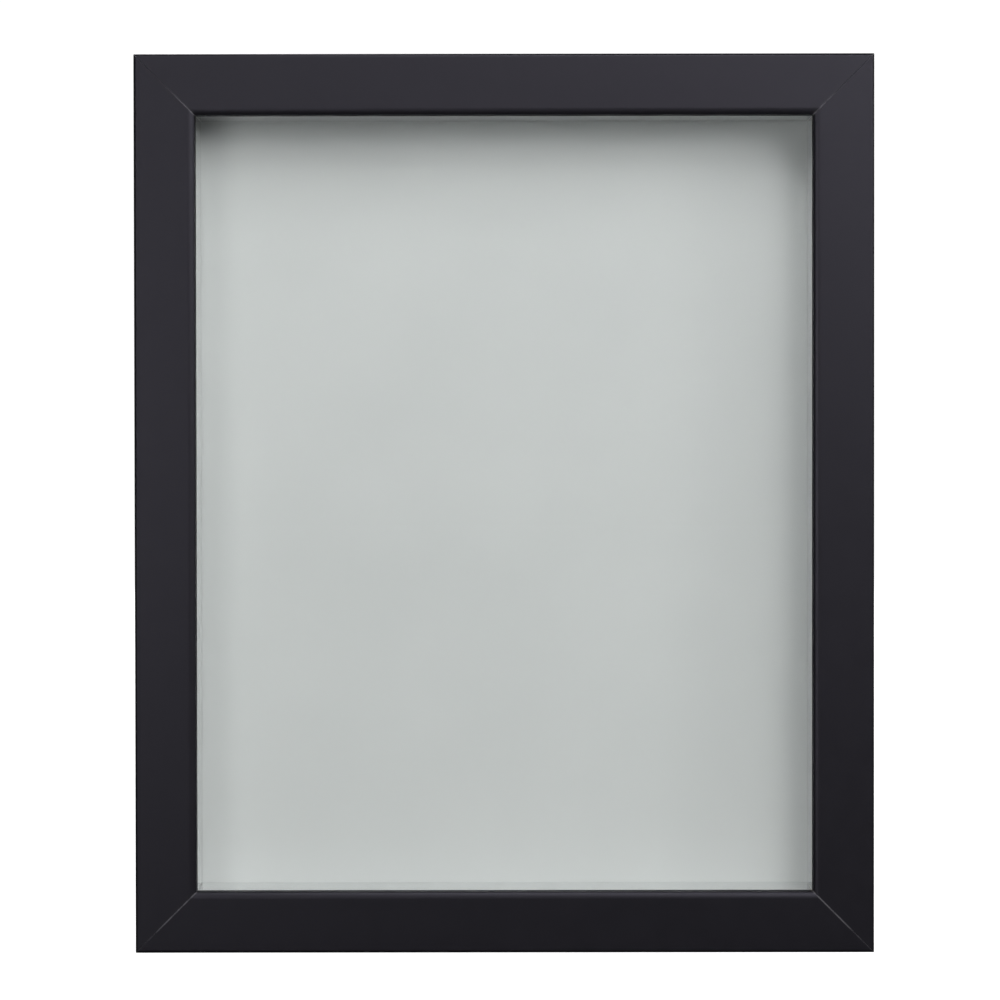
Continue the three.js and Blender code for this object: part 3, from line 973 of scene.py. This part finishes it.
def strap_line():
    """The folded strip's middle line from the side: (up, out) points, from one end to the other."""
    low_layer = STRAP_SHEET / 2
    high_layer = low_layer + STRAP_LAYER
    end = -STRAP_HOLE_DOWN - STRAP_END_ROUND - STRAP_TRIM
    line = [(end, low_layer), (-PINCH_DOWN, low_layer)]
    under = KNUCKLE_AXIS - KNUCKLE_MIDDLE
    for i in range(1, 8):
        t = i / 8
        rise = smooth_step(0, 1, t)
        line.append((-PINCH_DOWN * (1 - t), low_layer + (under - low_layer) * rise))
    run = Vector((PINCH_DOWN, KNUCKLE_AXIS - high_layer))
    lean = math.degrees(math.atan2(run.y, run.x) + math.asin(KNUCKLE_MIDDLE / run.length))
    line += arc(0, KNUCKLE_AXIS, KNUCKLE_MIDDLE, -90, 90 + lean, 26)
    line += [(-PINCH_DOWN, high_layer), (end, high_layer)]
    return line


def ribbon(line, thickness):
    """A closed outline round a line, half the thickness on either side."""
    left, right = [], []
    for i, point in enumerate(line):
        before = Vector(line[max(i - 1, 0)])
        after = Vector(line[min(i + 1, len(line) - 1)])
        direction = (after - before).normalized()
        across = Vector((-direction.y, direction.x)) * thickness / 2
        left.append(Vector(point) + across)
        right.append(Vector(point) - across)
    return left + right[::-1]


def make_strap(side):
    """The hanger's strap: one strip folded double round the ring, round-ended and drilled."""
    outline = ribbon(strap_line(), STRAP_SHEET)
    rings = [[(x, p.y, p.x) for p in outline] for x in (-STRAP_WIDTH, STRAP_WIDTH)]
    piece = new_object(f"{side}_hanger_plate", *lofted(rings))
    half = STRAP_WIDTH / 2
    plan = [(half, STRAP_CUT_TOP), (-half, STRAP_CUT_TOP)]
    plan += arc(0, -STRAP_HOLE_DOWN, STRAP_END_ROUND, 180, 360, 32)
    carve(piece, prism("cutter", plan, *STRAP_CUT), "INTERSECT")
    hole = arc(0, -STRAP_HOLE_DOWN, STRAP_HOLE, 0, 360, 32)[:-1]
    carve(piece, prism("cutter", hole, *STRAP_CUT))
    low, high = box_mm(f"{side}_hanger_strap")
    pivot = pivot_m(f"{side}_hanger_ring")
    place(piece, Matrix.Translation(((low.x + high.x) / 2, low.y, pivot[2] / MM)), 40)
    dress(piece, [PLATED], "frame", [f"{side}_hanger_strap"])


def make_ring(side):
    """The D-ring: a round wire swept along a straight bar, two short sides and a bow."""
    wide = RING_HALF_WIDTH
    bar = wide - RING_CORNER
    bow_top = -RING_CORNER - RING_STRAIGHT
    line = []
    line += arc(bar, -RING_CORNER, RING_CORNER, 90, 0, 10)
    line += arc(0, bow_top, wide, 0, -180, 44)
    line += arc(-bar, -RING_CORNER, RING_CORNER, 180, 90, 10)
    line += [(-bar / 2, 0), (0, 0), (bar / 2, 0)]
    rings = []
    count = len(line)
    for i in range(count):
        x, z = line[i]
        before, after = Vector(line[i - 1]), Vector(line[(i + 1) % count])
        direction = (after - before).normalized()
        out = Vector((direction.y, -direction.x))
        ring = []
        for k in range(20):
            angle = 2 * math.pi * k / 20
            reach = RING_WIRE * math.cos(angle)
            ring.append((x + out.x * reach, RING_WIRE * math.sin(angle), z + out.y * reach))
        rings.append(ring)
    rings.append(rings[0])
    node = f"{side}_hanger_ring"
    piece = new_object(f"{side}_d_ring", *lofted(rings, closed_ends=False))
    pivot = pivot_m(node)
    place(piece, Matrix.Translation(Vector(pivot) / MM), 60)
    dress(piece, [PLATED], node, [node])


def make_bumper(side):
    """A moulded rubber bumper: a thin flange, a drafted side and a faintly dished end."""
    low, high = box_mm(f"{side}_wall_bumper")
    radius = (high.x - low.x) / 2
    tall = high.y - low.y
    rows = [(0.0, radius - 0.1), (0.1, radius), (BUMPER_FLANGE, radius), (0.7, radius - 0.28)]
    neck, crown, round_off = radius - 0.34, radius - 0.55, BUMPER_ROUND
    rows.append((tall - round_off - 0.3, neck))
    for i in range(7):
        angle = math.radians(90 * i / 6)
        out = crown - round_off * (1 - math.cos(angle))
        rows.append((tall - round_off * (1 - math.sin(angle)), out))
    rows += [(tall - 0.02, crown - round_off - 0.3), (tall - 0.12, 1.6), (tall - BUMPER_DISH, 0.5)]
    piece = new_object(f"{side}_rubber_bumper", *revolved(rows, 48))
    place(piece, at_middle(low, high, low.y), 40)
    dress(piece, [RUBBER], "frame", [f"{side}_wall_bumper"])


# ---------------------------------------------------------------- assembly

for side in SIDES:
    make_rail(side)
    make_spacer(side)
for corner in CORNERS:
    for place_name in ("outer", "inner"):
        make_nail(corner, place_name)
make_glass()
make_board()
make_back_panel()
for name in BUTTONS:
    make_button(name)
    make_screw(f"{name}_button_screw", BUTTON_SCREW, f"{name}_pan_screw")
for side in HANGERS:
    make_strap(side)
    make_ring(side)
    make_screw(f"{side}_hanger_screw", HANGER_SCREW, f"{side}_hanger_pan_screw")
    make_bumper(side)


# ---------------------------------------------------------------- studio, in metres

FLOOR_HALF = 6.0
FLOOR_DROP = 0.00003  # below the box, so that the two never share a surface
WHITE_FROM, WHITE_TO = 0.35, 1.5  # from the box: where the floor starts and ends fading to white
ROOM = 0.1  # how bright the dim room round the studio is
BACKDROP = 1.05  # how bright the white is that the camera sees behind everything

CAMERA_AWAY = 1.2  # from the face
CAMERA_ABOVE = 0.0205  # the middle of the box
CAMERA_ASIDE = 0.0003
CAMERA_LENS = 135.53  # millimetres, on a sensor 36 wide
CAMERA_PAN = 0.080  # degrees, and so are the next two
CAMERA_TILT = -0.918
CAMERA_ROLL = -0.068


def make_floor():
    """A large pale floor. To the camera it is paper lit by the lamps with a painted glow added, which rises
    to white away from the box; every other ray sees it dark grey.
    """
    size = FLOOR_HALF
    mesh = bpy.data.meshes.new("floor")
    corners = [(-size, -size), (size, -size), (size, size), (-size, size)]
    mesh.from_pydata([(x, y, -FLOOR_DROP) for x, y in corners], [], [(0, 1, 2, 3)])
    floor = linked("floor", mesh)
    shader = Shader("floor_paper")
    tone = shader.mix(shader.noise(60, 2), (0.50, 0.50, 0.50), (0.52, 0.52, 0.52))
    diffuse = shader.node("BsdfDiffuse", {"Color": tone})
    far = shader.node("VectorMath", {0: shader.place}, operation="LENGTH").outputs["Value"]
    # A painted glow: the floor gives off light of its own, rising to white away from the box.
    white = shader.span(far, WHITE_FROM, WHITE_TO, 0.92, 1.03)
    glow = shader.node("Emission", {"Color": (1.0, 1.0, 1.0), "Strength": white})
    seen = shader.node("AddShader")
    shader.put(seen.inputs[0], diffuse.outputs[0])
    shader.put(seen.inputs[1], glow.outputs[0])
    unseen = shader.node("BsdfDiffuse", {"Color": (0.12, 0.12, 0.12)})
    rays = shader.node("LightPath")
    mixed = shader.node("MixShader", {0: rays.outputs["Is Camera Ray"]})
    shader.put(mixed.inputs[1], unseen.outputs[0])
    shader.put(mixed.inputs[2], seen.outputs[0])
    shader.put(shader.output.inputs["Surface"], mixed.outputs[0])
    mesh.materials.append(shader.material)


def softbox(name, azimuth, elevation, distance, width, height, watts):
    """A soft rectangle aimed at the middle of the box. Azimuth 0 is in front of the box, 90 to its right."""
    data = bpy.data.lights.new(name, "AREA")
    data.shape = "RECTANGLE"
    data.size, data.size_y = width, height
    data.energy = watts
    lamp = linked(name, data)
    across, up = math.radians(azimuth), math.radians(elevation)
    towards = Vector((math.sin(across) * math.cos(up), -math.cos(across) * math.cos(up), math.sin(up)))
    lamp.location = Vector((0, 0, MIDDLE_Z * MM)) + towards * distance
    lamp.rotation_euler = (-towards).to_track_quat("-Z", "Y").to_euler()
    lamp.visible_camera = False


LIGHTS = (
    # name, azimuth, elevation, distance, width, height, watts
    ("key", 14, 24, 3.0, 0.62, 0.62, 12.3),
    ("front", 0, 24, 1.0, 0.28, 0.22, 0.45),
    ("front_high", 0, 38, 1.0, 0.28, 0.22, 2.3),
    ("overhead", 0, 52, 1.0, 0.28, 0.22, 1.7),
    ("right", 18, 14, 1.8, 0.5, 0.4, 5.8),
    ("right_side", 34, 14, 1.0, 0.28, 0.22, 1.26),
    ("far_right", 55, 14, 1.8, 0.5, 0.4, 5.7),
    ("low_left", -20, 2, 1.8, 0.5, 0.24, 5.8),
    ("back_left", 205, 32, 2.6, 1.4, 1.2, 52.0),
    ("back_right", 145, 22, 2.6, 1.0, 1.2, 26.0),
    ("back_fill", 180, 6, 2.8, 3.4, 0.9, 20.0),
)


def make_world():
    """White behind the object, and a dim even studio for everything else."""
    world = bpy.data.worlds.new("studio")
    world.use_nodes = True
    tree = world.node_tree
    tree.nodes.clear()
    output = tree.nodes.new("ShaderNodeOutputWorld")
    rays = tree.nodes.new("ShaderNodeLightPath")
    mixed = tree.nodes.new("ShaderNodeMixShader")
    tree.links.new(rays.outputs["Is Camera Ray"], mixed.inputs[0])
    for place_in, strength in ((1, ROOM), (2, BACKDROP)):
        white = tree.nodes.new("ShaderNodeBackground")
        white.inputs["Color"].default_value = (1.0, 1.0, 1.0, 1.0)
        white.inputs["Strength"].default_value = strength
        tree.links.new(white.outputs[0], mixed.inputs[place_in])
    tree.links.new(mixed.outputs[0], output.inputs["Surface"])
    bpy.context.scene.world = world


def make_camera():
    """A long lens nearly square to the face, a little above the middle and tipped down to it."""
    data = bpy.data.cameras.new("camera")
    data.sensor_width = 36.0
    data.lens = CAMERA_LENS
    camera = linked("camera", data)
    height = MIDDLE_Z * MM + CAMERA_ABOVE
    at = Matrix.Translation((CAMERA_ASIDE, FRONT_Y * MM - CAMERA_AWAY, height))
    pan = Matrix.Rotation(math.radians(CAMERA_PAN), 4, "Z")
    tilt = Matrix.Rotation(math.radians(90 + CAMERA_TILT), 4, "X")
    roll = Matrix.Rotation(math.radians(CAMERA_ROLL), 4, "Z")
    camera.matrix_world = at @ pan @ tilt @ roll
    bpy.context.scene.camera = camera


make_floor()
make_world()
make_camera()
for light in LIGHTS:
    softbox(*light)
bpy.context.scene.view_settings.view_transform = "Standard"
